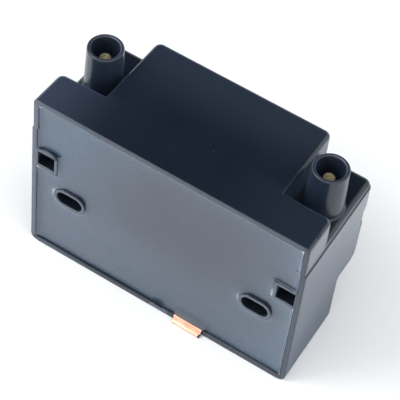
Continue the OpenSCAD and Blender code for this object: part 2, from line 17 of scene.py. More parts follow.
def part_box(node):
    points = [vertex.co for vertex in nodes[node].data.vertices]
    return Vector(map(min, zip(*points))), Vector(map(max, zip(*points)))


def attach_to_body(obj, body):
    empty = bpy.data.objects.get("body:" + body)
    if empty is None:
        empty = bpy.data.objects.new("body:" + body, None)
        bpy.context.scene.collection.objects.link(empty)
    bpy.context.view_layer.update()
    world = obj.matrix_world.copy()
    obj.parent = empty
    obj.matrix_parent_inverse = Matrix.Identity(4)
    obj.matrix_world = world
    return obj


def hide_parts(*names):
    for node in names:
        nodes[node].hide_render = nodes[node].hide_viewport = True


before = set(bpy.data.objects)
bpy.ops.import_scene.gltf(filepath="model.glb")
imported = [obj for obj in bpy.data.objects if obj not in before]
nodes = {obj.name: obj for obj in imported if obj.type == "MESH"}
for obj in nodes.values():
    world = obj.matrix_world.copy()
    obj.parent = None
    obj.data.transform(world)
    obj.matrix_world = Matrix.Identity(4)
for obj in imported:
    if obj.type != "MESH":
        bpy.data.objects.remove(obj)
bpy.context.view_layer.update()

MM = 0.001

# Sizes repeated from the solids, in millimetres. Depths count from the back rim, which lies at RIM_Y.
HALF_W = 48.0
BASE_D = 31.2
RIM_Y = -BASE_D / 2
WALL = 1.9
LEDGE_Z = 22.0
SEAM_Z = 55.6
PLATE_Z = 57.7
BLOCK_Z = 68.5
INNER_TOP = BLOCK_Z - WALL
TUB_INNER_W = 46.47
COVER_INNER_W = 46.07
RESIN_DROP = 1.2
TOP_R = 0.9
TOWER_X = 39.35
TOWER_Y = 25.0
TOWER_FOOT_R = 6.25
SLOT_X = 34.0
SLOT_Z = 29.0
SLEEVE_L = 11.7
SLEEVE_W = 7.6
SLEEVE_STRAIGHT = (SLEEVE_L - SLEEVE_W) / 2
POCKET_X = 38.9
POCKET_MIDDLE_X = 42.5
POCKET_LOW = 38.2
POCKET_HIGH = 46.4
POCKET_MIDDLE_Z = (POCKET_LOW + POCKET_HIGH) / 2
STRIP_X = 12.7
STRIP_W = 10.4
STRIP_T = 0.3
STRIP_LEFT = STRIP_X - STRIP_W / 2
STRIP_RIGHT = STRIP_X + STRIP_W / 2

# Sizes of the finish, in millimetres
HOUSING_EDGE = 0.45
STRIP_EDGE = 0.06
SOFT_TOP_R = 1.5
CREASE_Z = 32.3
LIP_X = 0.3
LIP_FILM_X = 1.4
HIGHEST_CLIMB = 1.12

# Colours of the housing, the resin and bare wire
HOUSING_DARK = (0.0042, 0.0085, 0.0155)
HOUSING_LIGHT = (0.0065, 0.011, 0.019)
# Painted sheen: lighter, bluer colour standing in for reflections on the housing
PAINTED_SHEEN = (0.04, 0.05, 0.078)
# Painted reflection of the floor on the right-hand end
END_PAINTED_REFLECTION = (0.15, 0.15, 0.16)
HOUSING_DUST = (0.16, 0.18, 0.21)
# Resin film on the rims, lightened as painted reflection of the floor
FILM_AND_REFLECTION = (0.075, 0.09, 0.115)
# Painted highlight on the block's rounded top edges
EDGE_HIGHLIGHT = (0.065, 0.08, 0.108)
# Painted shade on the inner faces of the walls
INNER_WALL_SHADE = (0.0035, 0.006, 0.0095)
# Resin in full painted shade
RESIN_SHADED = (0.003, 0.01, 0.028)
RESIN_LILAC = (0.048, 0.073, 0.12)
RESIN_GREEN = (0.03, 0.065, 0.106)
# Painted highlight along the resin's climbing edges
RESIN_HIGHLIGHT = (0.5, 0.55, 0.63)
RESIN_DUST = (0.04, 0.045, 0.055)
BARE_WIRE = (0.62, 0.6, 0.56)

# Camera, fitted to the corners of the housing: place, lens and sensor in millimetres, turns in degrees
CAMERA_PLACE = (155.258, -288.209, 471.939)
CAMERA_TURNS = (38.0875, -4.6568, 32.4642)
CAMERA_LENS = 161.54
SENSOR_WIDTH = 36

# Studio, in metres: one soft key light, and a sky that is dark where the top face mirrors it
KEY_PLACE = (-0.6, -0.45, 0.8)
KEY_SIZE = 0.5
KEY_POWER = 4.2
MIRRORED_WAY = (-0.277, 0.555, 0.784)
SKY_COLOUR = (0.93, 0.965, 1.0)
SKY_STRENGTH = 1.6
FLOOR_HALF = 3.0


# A place in metres, from millimetres across, in from the back rim, and up
def at(x, y, z):
    return Vector((x, y + RIM_Y, z)) * MM


def new_object(name, data):
    thing = bpy.data.objects.new(name, data)
    bpy.context.collection.objects.link(thing)
    return thing


def place_camera():
    data = bpy.data.cameras.new("camera")
    data.sensor_width = SENSOR_WIDTH
    data.lens = CAMERA_LENS
    data.clip_start = 0.01
    data.clip_end = 20
    camera = new_object("camera", data)
    turn = Euler([math.radians(angle) for angle in CAMERA_TURNS], "XYZ")
    camera.matrix_world = Matrix.Translation(at(*CAMERA_PLACE)) @ turn.to_matrix().to_4x4()
    bpy.context.scene.camera = camera


def place_key_light():
    data = bpy.data.lights.new("key", "AREA")
    data.size = KEY_SIZE
    data.energy = KEY_POWER
    light = new_object("key", data)
    light.location = KEY_PLACE
    light.rotation_mode = "QUATERNION"
    light.rotation_quaternion = (-Vector(KEY_PLACE)).to_track_quat("-Z", "Y")


# Node helpers: a colour is three numbers, and a label is written with an underscore for each space
def add(tree, kind, **values):
    node = tree.nodes.new(kind)
    for key, value in values.items():
        setattr(node, key, value)
    return node


def feed(tree, socket, source):
    if isinstance(source, bpy.types.NodeSocket):
        tree.links.new(source, socket)
    elif socket.type == "RGBA":
        socket.default_value = (*source, 1)
    else:
        socket.default_value = source


def fill(tree, node, **values):
    for label, value in values.items():
        feed(tree, node.inputs[label.replace("_", " ")], value)
    return node


# A new node with its inputs filled
def wired(tree, kind, **values):
    return fill(tree, add(tree, kind), **values)


def maths(tree, operation, *terms):
    node = add(tree, "ShaderNodeMath", operation=operation)
    for socket, term in zip(node.inputs, terms):
        feed(tree, socket, term)
    return node.outputs[0]


def all_of(tree, *masks):
    return reduce(lambda one, other: maths(tree, "MULTIPLY", one, other), masks)


def any_of(tree, *masks):
    return reduce(lambda one, other: maths(tree, "MAXIMUM", one, other), masks)


# Smooth change from first to last while a value goes from low to high
def spread(tree, value, low, high, first=0.0, last=1.0):
    node = add(tree, "ShaderNodeMapRange", interpolation_type="SMOOTHSTEP")
    for socket, source in zip(node.inputs, (value, low, high, first, last)):
        feed(tree, socket, source)
    return node.outputs["Result"]


# The same along a coordinate of the part, in millimetres
def along(tree, coordinate, start, stop, first=0.0, last=1.0):
    return spread(tree, coordinate, start * MM, stop * MM, first, last)


# Whether a coordinate of the part lies above or below a level in millimetres
def above(tree, coordinate, level):
    return maths(tree, "GREATER_THAN", coordinate, level * MM)


def below(tree, coordinate, level):
    return maths(tree, "LESS_THAN", coordinate, level * MM)


def blend_colours(tree, share, first, second):
    node = add(tree, "ShaderNodeMix", data_type="RGBA")
    feed(tree, node.inputs["Factor"], share)
    feed(tree, node.inputs[6], first)
    feed(tree, node.inputs[7], second)
    return node.outputs[2]


# Object is the place on the part, Normal the way that its surface faces, Generated the way into the sky
def position(tree, kind="Object"):
    return add(tree, "ShaderNodeTexCoord").outputs[kind]


# The same as its three numbers
def coordinates(tree, kind="Object"):
    return tuple(wired(tree, "ShaderNodeSeparateXYZ", Vector=position(tree, kind)).outputs)


def object_noise(tree, scale, detail, stretch=None, shift=0.0):
    place = position(tree)
    if stretch is not None:
        mapping = wired(tree, "ShaderNodeMapping", Vector=place, Scale=stretch, Location=[shift] * 3)
        place = mapping.outputs["Vector"]
    return wired(tree, "ShaderNodeTexNoise", Vector=place, Scale=scale, Detail=detail).outputs["Fac"]


# Node groups
NUMBER = "NodeSocketFloat"
COLOUR = "NodeSocketColor"
VECTOR = "NodeSocketVector"


def group_of(name, inputs, outputs):
    tree = bpy.data.node_groups.new(name, "ShaderNodeTree")
    for label, kind, value in inputs:
        socket = tree.interface.new_socket(label, in_out="INPUT", socket_type=kind)
        socket.default_value = value
    for label, kind in outputs:
        tree.interface.new_socket(label, in_out="OUTPUT", socket_type=kind)
    return tree, add(tree, "NodeGroupInput").outputs, add(tree, "NodeGroupOutput")


# Roughness that swings about its middle value with a pattern of 0 to 1
def uneven_gloss(tree, pattern, given):
    swing = maths(tree, "MULTIPLY_ADD", pattern, 2.0, -1.0)
    return maths(tree, "MULTIPLY_ADD", swing, given["Unevenness"], given["Roughness"])


# Fine grain of a moulded or cast skin: a height and an uneven gloss
def skin_group():
    tree, given, result = group_of(
        "skin grain",
        [("Grain Scale", NUMBER, 2500.0), ("Gloss Scale", NUMBER, 60.0), ("Roughness", NUMBER, 0.3),
         ("Unevenness", NUMBER, 0.05)],
        [("Height", NUMBER), ("Roughness", NUMBER)])
    grain = object_noise(tree, given["Grain Scale"], 1.5)
    patchy = object_noise(tree, given["Gloss Scale"], 4.0)
    fill(tree, result, Height=grain, Roughness=uneven_gloss(tree, patchy, given))
    return tree


# Scattered specks of dust and small pits, as a mask
def speck_group():
    tree, given, result = group_of(
        "specks",
        [("Cell Scale", NUMBER, 250.0), ("Share", NUMBER, 0.15), ("Size", NUMBER, 0.12)],
        [("Mask", NUMBER)])
    cells = wired(tree, "ShaderNodeTexVoronoi", Vector=position(tree), Scale=given["Cell Scale"])
    dice = wired(tree, "ShaderNodeSeparateColor", Color=cells.outputs["Color"])
    chosen = maths(tree, "LESS_THAN", dice.outputs["Red"], given["Share"])
    reach = maths(tree, "MULTIPLY", dice.outputs["Green"], given["Size"])
    inside = maths(tree, "LESS_THAN", cells.outputs["Distance"], reach)
    fill(tree, result, Mask=all_of(tree, chosen, inside))
    return tree


# Slow change of tone over a surface
def mottle_group():
    tree, given, result = group_of(
        "mottling",
        [("Scale", NUMBER, 30.0), ("First", COLOUR, (0, 0, 0, 1)), ("Second", COLOUR, (1, 1, 1, 1))],
        [("Color", COLOUR)])
    share = spread(tree, object_noise(tree, given["Scale"], 3.0), 0.3, 0.7)
    fill(tree, result, Color=blend_colours(tree, share, given["First"], given["Second"]))
    return tree


# Lines left by a tool or a rolling mill, along the axis whose squeeze is small
def tooling_group():
    tree, given, result = group_of(
        "tool lines",
        [("Scale", NUMBER, 400.0), ("Squeeze", VECTOR, (1, 1, 1)), ("Roughness", NUMBER, 0.3),
         ("Unevenness", NUMBER, 0.1)],
        [("Height", NUMBER), ("Roughness", NUMBER)])
    lines = object_noise(tree, given["Scale"], 3.0, given["Squeeze"])
    fill(tree, result, Height=lines, Roughness=uneven_gloss(tree, lines, given))
    return tree


SKIN = skin_group()
SPECKS = speck_group()
MOTTLE = mottle_group()
TOOLING = tooling_group()


def place_group(tree, group, **values):
    return fill(tree, add(tree, "ShaderNodeGroup", node_tree=group), **values)


def mottled(tree, scale, first, second):
    return place_group(tree, MOTTLE, Scale=scale, First=first, Second=second).outputs["Color"]


def speckled(tree, colour, speck_colour, scale, share, size):
    specks = place_group(tree, SPECKS, Cell_Scale=scale, Share=share, Size=size)
    return blend_colours(tree, specks.outputs["Mask"], colour, speck_colour)


# Finishes
def new_material(name):
    material = bpy.data.materials.new(name)
    material.use_nodes = True
    tree = material.node_tree
    tree.nodes.clear()
    shader = add(tree, "ShaderNodeBsdfPrincipled")
    wired(tree, "ShaderNodeOutputMaterial", Surface=shader.outputs["BSDF"])
    return material, tree, shader


# Bump whose height of 1 stands for a depth in millimetres
def bump(tree, shader, height, depth):
    node = wired(tree, "ShaderNodeBump", Distance=depth * MM, Height=height)
    feed(tree, shader.inputs["Normal"], node.outputs["Normal"])


# Grained skin: uneven gloss, and bump from the grain unless another relief is given
def give_skin(tree, shader, roughness, uneven, grain=2500.0, depth=0.004, relief=None):
    skin = place_group(tree, SKIN, Grain_Scale=grain, Roughness=roughness, Unevenness=uneven)
    feed(tree, shader.inputs["Roughness"], skin.outputs["Roughness"])
    bump(tree, shader, skin.outputs["Height"] if relief is None else relief, depth)


# Tool lines: uneven gloss and fine bump
def give_tool_lines(tree, shader, roughness, uneven, lines, squeeze, depth):
    tool = place_group(tree, TOOLING, Scale=lines, Squeeze=squeeze, Roughness=roughness, Unevenness=uneven)
    feed(tree, shader.inputs["Roughness"], tool.outputs["Roughness"])
    bump(tree, shader, tool.outputs["Height"], depth)


# Plastic, lacquer, card or ferrite: mottled colour and grained skin, with specks where they are given
def moulded(name, first, second, roughness, uneven=0.05, grain=2500.0, depth=0.004, specks=None):
    material, tree, shader = new_material(name)
    colour = mottled(tree, 30.0, first, second)
    if specks is not None:
        colour = speckled(tree, colour, *specks)
    feed(tree, shader.inputs["Base Color"], colour)
    give_skin(tree, shader, roughness, uneven, grain, depth)
    return material


# Metal: tarnished in patches, with tool lines
def worked_metal(name, first, second, roughness, uneven=0.1, lines=400.0, squeeze=(1, 1, 1), depth=0.003,
                 mottle=150.0):
    material, tree, shader = new_material(name)
    fill(tree, shader, Base_Color=mottled(tree, mottle, first, second), Metallic=1.0)
    give_tool_lines(tree, shader, roughness, uneven, lines, squeeze, depth)
    return material


# Painted sheen on the housing, standing in for reflections: lighter towards its ends, over the block's far
# half and on the towers
def painted_sheen_areas(tree):
    x, y, z = coordinates(tree)
    to_ends = any_of(tree, along(tree, x, -22, -HALF_W, 0.0, 0.75), along(tree, x, 12, 47, 0.0, 0.2))
    near_back = along(tree, y, -2, 2, 1.0, 0.0)
    on_block = along(tree, maths(tree, "ABSOLUTE", x), 29, 32, 1.0, 0.0)
    far_half = along(tree, y, 2, 24, 0.0, 0.3)
    beside_block = maths(tree, "SUBTRACT", 1.0, any_of(tree, on_block, near_back))
    towers = along(tree, z, PLATE_Z + 0.6, PLATE_Z + 1.3, 0.0, 0.2)
    return any_of(tree, all_of(tree, to_ends, near_back), all_of(tree, far_half, on_block),
                  all_of(tree, beside_block, towers))


# Where the skin of the right-hand end begins
def on_right_end(tree):
    return along(tree, coordinates(tree)[0], 46.6, 47.0)


# Painted reflection on the right-hand end, lighter upwards and away from the back rim
def painted_end_reflection(tree):
    y, z = coordinates(tree)[1:]
    upward = maths(tree, "MULTIPLY_ADD", y, 0.5, z)
    facing_right = spread(tree, coordinates(tree, "Normal")[0], 0.7, 0.95)
    return all_of(tree, along(tree, upward, 30, 66, 0.0, 0.75), on_right_end(tree), facing_right)


# Film of resin on the back rims, lightened further as painted reflection of the floor: ragged inwards,
# thinner right and above, faint below except at the lip
def rim_film_and_reflection(tree):
    x, y, z = coordinates(tree)
    patchy = object_noise(tree, 260.0, 3.0)
    ragged = maths(tree, "MULTIPLY_ADD", patchy, 0.3 * MM, y)
    facing_back = spread(tree, coordinates(tree, "Normal")[1], -0.85, -0.5, 1.0, 0.0)
    on_rim = all_of(tree, along(tree, ragged, RIM_Y + 0.3, RIM_Y + 0.5, 1.0, 0.0), facing_back)
    from_lip = maths(tree, "ABSOLUTE", maths(tree, "SUBTRACT", x, LIP_FILM_X * MM))
    above_bottom = along(tree, z, 1.6, 2.6, 0.12, 1.0)
    at_lip = along(tree, from_lip, 3.2, 3.6, 0.8, 0.0)
    return all_of(tree, on_rim, spread(tree, patchy, 0.3, 0.6, 0.75, 1.0),
                  along(tree, x, 45.9, 46.5, 1.0, 0.2), any_of(tree, above_bottom, at_lip),
                  along(tree, z, INNER_TOP - 0.6, INNER_TOP - 0.1, 1.0, 0.5))


# Painted highlight where the block's top turns down, on its far side and at the left-hand end
def painted_edge_highlights(tree):
    x, y, z = coordinates(tree)
    facing_x, _, facing_z = coordinates(tree, "Normal")
    turning = all_of(tree, spread(tree, facing_z, 0.97, 0.85, 0.0, 0.8), spread(tree, facing_z, 0.1, 0.3))
    far_or_left = any_of(tree, along(tree, y, 4, 14), along(tree, x, -44, -46))
    return all_of(tree, turning, along(tree, z, INNER_TOP, INNER_TOP + 0.3),
                  spread(tree, facing_x, 0.1, 0.4, 1.0, 0.15), far_or_left)


# Painted shade on the inner faces of the walls, just inside the rim
def shaded_inner_walls(tree):
    x, y, z = coordinates(tree)
    return all_of(tree, along(tree, y, RIM_Y + 0.35, RIM_Y + 0.6), along(tree, y, -5, -4, 1.0, 0.0),
                  along(tree, maths(tree, "ABSOLUTE", x), 46.8, 47.0, 1.0, 0.0),
                  along(tree, z, INNER_TOP - 0.2, INNER_TOP, 1.0, 0.0), along(tree, z, 1.0, 1.3))


# Duller inside the walls, low on the right-hand end and along the plate's edge there
def housing_gloss(tree, inside, roughness):
    y, z = coordinates(tree)[1:]
    on_end = on_right_end(tree)
    low_end = all_of(tree, on_end, along(tree, z, 34, 4))
    plate_edge = all_of(tree, on_end, along(tree, z, SEAM_Z, SEAM_Z + 0.2),
                        along(tree, z, PLATE_Z + 0.3, PLATE_Z + 0.6, 1.0, 0.0), along(tree, y, -5, 2))
    for mask, more in ((inside, 0.12), (low_end, 0.15), (plate_edge, 0.35)):
        roughness = maths(tree, "MULTIPLY_ADD", mask, more, roughness)
    return roughness


# Slow waves of the moulding, and a raised crease that runs across the right-hand end with its slope
def housing_relief(tree, grain):
    x, y, z = coordinates(tree)
    wavy = object_noise(tree, 90.0, 2.0, (1, 0.6, 1.6), 3.0)
    sloped = maths(tree, "MULTIPLY_ADD", y, -0.075, z)
    from_crease = maths(tree, "ABSOLUTE", maths(tree, "SUBTRACT", sloped, CREASE_Z * MM))
    crease = all_of(tree, along(tree, from_crease, 0.0, 0.4, 1.0, 0.0), above(tree, x, 47.0))
    height = maths(tree, "MULTIPLY_ADD", wavy, 12.0, grain)
    return maths(tree, "MULTIPLY_ADD", crease, 9.0, height)


# Housing plastic: glossy and a little wavy, with painted sheen, painted reflection on the right-hand end, a
# film of resin with painted reflection on the back rims, painted edge highlights and painted shade inside
# the walls
def housing():
    material, tree, shader = new_material("glossy moulded plastic")
    # The mask inside marks painted shade on the inner walls, which are also made duller
    inside = shaded_inner_walls(tree)
    colour = mottled(tree, 25.0, HOUSING_DARK, HOUSING_LIGHT)
    colour = blend_colours(tree, painted_sheen_areas(tree), colour, PAINTED_SHEEN)
    colour = blend_colours(tree, painted_end_reflection(tree), colour, END_PAINTED_REFLECTION)
    colour = speckled(tree, colour, HOUSING_DUST, 330.0, 0.1, 0.075)
    colour = blend_colours(tree, rim_film_and_reflection(tree), colour, FILM_AND_REFLECTION)
    colour = blend_colours(tree, painted_edge_highlights(tree), colour, EDGE_HIGHLIGHT)
    colour = blend_colours(tree, inside, colour, INNER_WALL_SHADE)
    skin = place_group(tree, SKIN, Grain_Scale=1800.0, Roughness=0.24, Unevenness=0.04)
    roughness = housing_gloss(tree, inside, skin.outputs["Roughness"])
    fill(tree, shader, Base_Color=colour, Roughness=roughness, Sheen_Weight=0.14, Sheen_Roughness=0.4,
         Sheen_Tint=(0.35, 0.6, 1.0))
    bump(tree, shader, housing_relief(tree, skin.outputs["Height"]), 0.0015)
    return material


# Resin: its lightness follows the attribute painted_light_and_tone, painted light and shade that turns into
# a painted highlight above 1; its tint drifts from lilac to grey green
def poured_resin():
    material, tree, shader = new_material("cast resin")
    painted_light_and_tone = add(tree, "ShaderNodeAttribute", attribute_name="painted_light_and_tone").outputs["Fac"]
    colour = blend_colours(tree, painted_light_and_tone, RESIN_SHADED, mottled(tree, 26.0, RESIN_LILAC, RESIN_GREEN))
    colour = blend_colours(tree, spread(tree, painted_light_and_tone, 1.05, 2.0), colour, RESIN_HIGHLIGHT)
    colour = speckled(tree, colour, RESIN_DUST, 300.0, 0.07, 0.1)
    fill(tree, shader, Base_Color=colour, IOR=1.85)
    give_skin(tree, shader, 0.27, 0.05, grain=900.0, depth=0.003)
    return material


# Fine turns or threads, as a regular wave across one axis
def wave_on(tree, axis, scale):
    wave = add(tree, "ShaderNodeTexWave", wave_type="BANDS", bands_direction=axis)
    return fill(tree, wave, Vector=position(tree), Scale=scale).outputs["Fac"]


def laminate():
    material, tree, shader = new_material("glass laminate board")
    weave = all_of(tree, wave_on(tree, "X", 450.0), wave_on(tree, "Y", 450.0))
    fill(tree, shader, Base_Color=blend_colours(tree, weave, (0.17, 0.23, 0.07), (0.3, 0.36, 0.16)))
    give_skin(tree, shader, 0.38, 0.08, depth=0.02, relief=weave)
    return material


def fine_winding():
    material, tree, shader = new_material("fine enamelled winding")
    turns = wave_on(tree, "X", 1100.0)
    crowns = mottled(tree, 120.0, (0.45, 0.17, 0.06), (0.68, 0.3, 0.12))
    # The valleys between turns are painted darker as shade; the crowns are mottled copper
    fill(tree, shader, Base_Color=blend_colours(tree, turns, (0.2, 0.07, 0.03), crowns), Metallic=0.8)
    give_skin(tree, shader, 0.3, 0.06, depth=0.03, relief=turns)
    return material


# Lacquered part along Y: a printed ring near one end, bare wire beyond the ends of its body
def banded(name, body, ring, ends, ring_at):
    material, tree, shader = new_material(name)
    y = coordinates(tree)[1]
    on_ring = maths(tree, "COMPARE", y, ring_at * MM, 0.35 * MM)
    bare = any_of(tree, below(tree, y, ends[0]), above(tree, y, ends[1]))
    colour = blend_colours(tree, bare, blend_colours(tree, on_ring, body, ring), BARE_WIRE)
    fill(tree, shader, Base_Color=colour, Metallic=bare)
    give_skin(tree, shader, 0.3, 0.06)
    return material


# Copper, painted black as shade where it goes into the resin, and as shadow on its open right-hand end
def strip_metal():
    material, tree, shader = new_material("bright copper")
    x, y, z = coordinates(tree)
    into_resin = all_of(tree, along(tree, y, RIM_Y + 0.22, RIM_Y + 0.42), above(tree, z, 1.2))
    open_end = all_of(tree, above(tree, x, STRIP_RIGHT - 0.55), below(tree, z, 1.15), below(tree, y, RIM_Y))
    painted_shadow = any_of(tree, into_resin, open_end)
    copper = mottled(tree, 250.0, (0.8, 0.4, 0.26), (0.93, 0.58, 0.42))
    fill(tree, shader, Base_Color=blend_colours(tree, painted_shadow, copper, (0.012, 0.014, 0.018)),
         Metallic=maths(tree, "SUBTRACT", 1.0, painted_shadow))
    give_tool_lines(tree, shader, 0.3, 0.08, 900.0, (0.15, 1, 1), 0.004)
    return material


def table_top():
    material, tree, shader = new_material("white table top")
    fill(tree, shader, Base_Color=(0.92, 0.91, 0.9), Roughness=0.55)
    return material


# Shapes: a copy of a solid, its loose triangles joined at their corners
def merged(name):
    work = bmesh.new()
    work.from_mesh(nodes[name].data)
    bmesh.ops.remove_doubles(work, verts=work.verts, dist=0.002 * MM)
    return work


# Triangles that lie in one plane become one face
def join_flat_faces(work):
    bmesh.ops.dissolve_limit(work, angle_limit=math.radians(0.4), verts=work.verts, edges=work.edges)


def smooth_mesh(name, work):
    mesh = bpy.data.meshes.new(name)
    work.to_mesh(mesh)
    work.free()
    for face in mesh.polygons:
        face.use_smooth = True
    return mesh


def new_piece(name, work, material):
    mesh = smooth_mesh(name, work)
    mesh.materials.append(material)
    return new_object(name, mesh)


# The piece's mesh with its modifiers applied, which are then taken off
def applied(piece):
    graph = bpy.context.evaluated_depsgraph_get()
    mesh = bpy.data.meshes.new_from_object(
        piece.evaluated_get(graph), preserve_all_data_layers=True, depsgraph=graph)
    mesh.name = piece.name
    piece.modifiers.clear()
    return mesh


def join_to(piece, extra):
    target = bmesh.new()
    target.from_mesh(piece.data)
    target.from_mesh(extra)
    target.to_mesh(piece.data)
    target.free()
    bpy.data.meshes.remove(extra)


def attach(piece, node_name):
    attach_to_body(piece, "root")
    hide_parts(node_name)


# Edges: what counts as sharp, what counts as seen, and what shows that a round has folded over
SHARP = math.radians(28)
SEEN = math.radians(8)
FOLDED = math.radians(115)

# Space in millimetres between the marks on edges, and between the points where an edge's room is measured
MARK_SPACE = 0.12
ROOM_SPACE = 0.5

# In widths of a round: the room that a full one needs beside its edge, and how near a fold none is made
FULL_ROOM = 2.2
FOLD_REACH = 1.2
# The least share of its room with which a round is still made
LEAST_SHARE = 0.25


def leans(edge, angle):
    return len(edge.link_faces) == 2 and edge.calc_face_angle(0) > angle


def points_along(edge, space):
    first, last = (v.co for v in edge.verts)
    count = max(int(edge.calc_length() / (space * MM)), 1)
    return [first.lerp(last, (i + 0.5) / count) for i in range(count)]


# Points along every edge that shows, each with the number of its edge
def edge_marks(work):
    marks = [(place, edge.index) for edge in work.edges if leans(edge, SEEN)
             for place in points_along(edge, MARK_SPACE)]
    tree = KDTree(len(marks))
    for i, (place, _) in enumerate(marks):
        tree.insert(place, i)
    tree.balance()
    return marks, tree


# Share of a round's width that fits along each outward edge: edges that run beside it leave it less
def edge_shares(work, width, kept):
    work.edges.ensure_lookup_table()
    work.edges.index_update()
    solid = BVHTree.FromBMesh(work)
    marks, tree = edge_marks(work)
    reach = FULL_ROOM * width * MM
    shares = {}
    for edge in work.edges:
        if not leans(edge, SHARP) or not edge.is_convex:
            continue
        if all(kept[0] < v.co.z / MM < kept[1] for v in edge.verts):
            continue
        first, last = (v.co for v in edge.verts)
        outward = (edge.link_faces[0].normal + edge.link_faces[1].normal).normalized()
        if solid.ray_cast(first.lerp(last, 0.5) + outward * 0.02 * MM, outward)[0] is not None:
            continue
        direction = (last - first).normalized()
        own = {near.index for vert in edge.verts for near in vert.link_edges}
        room = reach
        for middle in points_along(edge, ROOM_SPACE):
            for place, i, distance in tree.find_range(middle, room):
                if marks[i][1] not in own and abs((place - middle).dot(direction)) < 0.6 * distance:
                    room = min(room, distance)
        if room > LEAST_SHARE * reach:
            shares[edge.index] = room / reach
    return shares


def rounded(piece, width, steps):
    bevel = piece.modifiers.new("broken edges", "BEVEL")
    bevel.limit_method = "WEIGHT"
    bevel.width = width * MM
    bevel.segments = steps
    bevel.use_clamp_overlap = False
    bevel.loop_slide = False
    return applied(piece)


def folds(mesh):
    work = bmesh.new()
    work.from_mesh(mesh)
    places = [(e.verts[0].co + e.verts[1].co) / 2 for e in work.edges if leans(e, FOLDED)]
    work.free()
    return places


def is_near(edge, places, distance):
    first, last = (v.co for v in edge.verts)
    for place in places:
        share = intersect_point_line(place, first, last)[1]
        if (first.lerp(last, min(max(share, 0), 1)) - place).length < distance:
            return True
    return False


# Outward edges get a small round, apart from those between the kept heights and where it would fold over
def break_edges(piece, width, steps=3, kept=(0, 0)):
    work = bmesh.new()
    work.from_mesh(piece.data)
    shares = edge_shares(work, width, kept)
    weight = work.edges.layers.float.new("bevel_weight_edge")
    for _ in range(5):
        for edge in work.edges:
            edge[weight] = shares.get(edge.index, 0.0)
            edge.smooth = edge.index in shares or not leans(edge, SHARP)
        work.to_mesh(piece.data)
        mesh = rounded(piece, width, steps)
        bad = folds(mesh)
        if not bad:
            break
        for number in list(shares):
            if is_near(work.edges[number], bad, FOLD_REACH * width * MM):
                shares.pop(number)
    work.free()
    piece.data = mesh
    weighted = piece.modifiers.new("flat faces first", "WEIGHTED_NORMAL")
    weighted.mode = "FACE_AREA"
    weighted.weight = 50
    weighted.keep_sharp = True
    piece.data = applied(piece)


# Faces between two rings of points
def bridge(work, near, far):
    for i in range(len(near)):
        j = (i + 1) % len(near)
        work.faces.new((near[i], far[i], far[j], near[j]))


# Ring of a given section round an upright axis: its points are (radius, height)
def turned(section, centre, steps=64):
    work = bmesh.new()
    rows = []
    for i in range(steps):
        angle = 2 * math.pi * i / steps
        side = Vector((math.cos(angle), math.sin(angle), 0))
        rows.append([work.verts.new(centre + (side * r + Vector((0, 0, h))) * MM) for r, h in section])
    for near, far in zip(rows, rows[1:] + rows[:1]):
        bridge(work, near, far)
    bmesh.ops.recalc_face_normals(work, faces=work.faces)
    return work


# Small rounded lump: a squashed ball with its middle at a place
def lump(place, size, steps=12):
    work = bmesh.new()
    bmesh.ops.create_uvsphere(work, u_segments=2 * steps, v_segments=steps, radius=MM)
    squashed = Matrix.Translation(place) @ Matrix.Diagonal((*size, 1))
    bmesh.ops.transform(work, matrix=squashed, verts=work.verts)
    return work


# Band of even thickness: one path of (depth, height) points for each x
def band(slices, thickness):
    work = bmesh.new()
    rings = []
    for x, path in slices:
        points = [Vector(p) for p in path]
        normals = []
        for i in range(len(points)):
            ahead = points[min(i + 1, len(points) - 1)] - points[max(i - 1, 0)]
            normals.append(Vector((-ahead.y, ahead.x)).normalized() * thickness / 2)
        outer = [p + n for p, n in zip(points, normals)]
        inner = [p - n for p, n in zip(points, normals)]
        rings.append([work.verts.new(at(x, p.x, p.y)) for p in outer + inner[::-1]])
    for near, far in zip(rings, rings[1:]):
        bridge(work, near, far)
    count = len(rings[0])
    for ring in (rings[0], rings[-1]):
        for i in range(count // 2 - 1):
            work.faces.new((ring[i], ring[i + 1], ring[count - 2 - i], ring[count - 1 - i]))
    bmesh.ops.recalc_face_normals(work, faces=work.faces)
    return work


# Resin face: distances in millimetres from a point of the back plane to whatever the resin wets
def to_box(x, z, x0, x1, z0, z1):
    dx = max(x0 - x, 0, x - x1)
    dz = max(z0 - z, 0, z - z1)
    if dx == 0 and dz == 0:
        return -min(x - x0, x1 - x, z - z0, z1 - z)
    return math.hypot(dx, dz)


def to_sleeve(x, z):
    off = max(abs(abs(x) - SLOT_X) - SLEEVE_STRAIGHT, 0)
    return math.hypot(off, z - SLOT_Z) - SLEEVE_W / 2


def to_pocket(x, z):
    return to_box(abs(x), z, POCKET_X, HALF_W, POCKET_LOW, POCKET_HIGH)


def to_strip(x, z):
    return to_box(x, z, STRIP_LEFT, STRIP_RIGHT, 0, WALL + STRIP_T)


def inner_half(z):
    return TUB_INNER_W if z < SEAM_Z else COVER_INNER_W


def clearance(x, z):
    walls = min(inner_half(z) - abs(x), z - WALL, INNER_TOP - z)
    return min(walls, to_sleeve(x, z), to_pocket(x, z), to_strip(x, z))


# Shapes of the resin's rise and of its painted light and shade over the back plane
def fade(distance, reach):
    return math.exp(-distance / reach)


def hill(x, z, middle, reach):
    return math.exp(-((x - middle[0]) / reach[0]) ** 2 - ((z - middle[1]) / reach[1]) ** 2)


def low_noise(x, z, size, seed):
    return noise.noise(Vector((x / size, z / size, seed)))


# One climb: a steep foot against the wall and a wide soft skirt
def climb(distance, foot, skirt):
    away = max(distance, 0)
    return foot * fade(away, 0.5) + skirt * fade(away, 2.2)


# Painted highlight: a pale line where the resin has crept up whatever it touches
def painted_highlight_line(distance, middle):
    return math.exp(-((max(distance, 0) - middle) / 0.36) ** 2)


# Share of the full climb on the side of a sleeve or pocket that faces a way: most below and to the left
def lean(dx, dz):
    length = math.hypot(dx, dz)
    if length < 1e-6:
        return 0.5
    return 0.5 - 0.5 * (0.45 * dx + 0.89 * dz) / length


